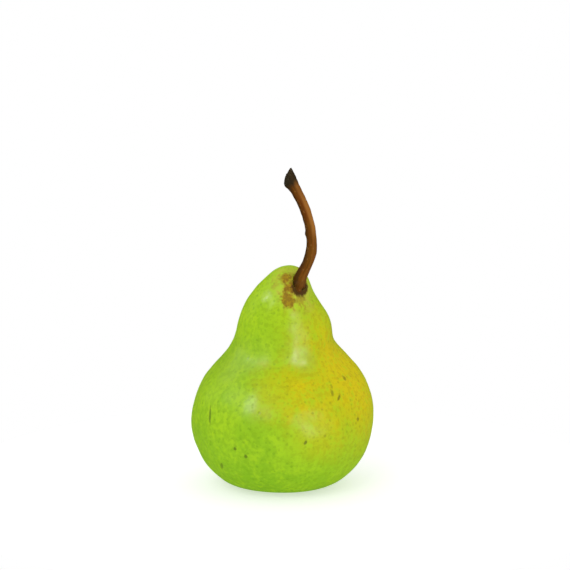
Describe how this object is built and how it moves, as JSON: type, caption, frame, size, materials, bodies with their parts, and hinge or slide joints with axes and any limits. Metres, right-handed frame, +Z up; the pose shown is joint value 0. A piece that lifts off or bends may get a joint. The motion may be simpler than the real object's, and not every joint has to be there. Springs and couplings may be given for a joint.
{
  "type": "pear",
  "caption": "Green pear with a yellow blush, standing on its calyx end, its neck leaning to the front under a long curved woody stem.",
  "frame": {"origin": "on the surface that the pear stands on, under the centre of its bounding box", "axes": "+Z up from the calyx end to the stem, -Y to the front, the side that the neck leans to, +X to the right of someone facing the front"},
  "size_m": [0.0664, 0.0656, 0.1167],
  "materials": {
    "fruit_skin": "smooth waxy skin, satin, yellow-green with a yellow blush on its right and fine dots all over",
    "stem_wood": "smooth red-brown bark with a dull sheen, dark and rough at the foot and the broken end",
    "calyx_dry": "dry, matt and dark brown"
  },
  "bodies": {
    "root": {"fruit": "fruit_skin", "stem": "stem_wood", "calyx": "calyx_dry"}
  },
  "joints": []
}
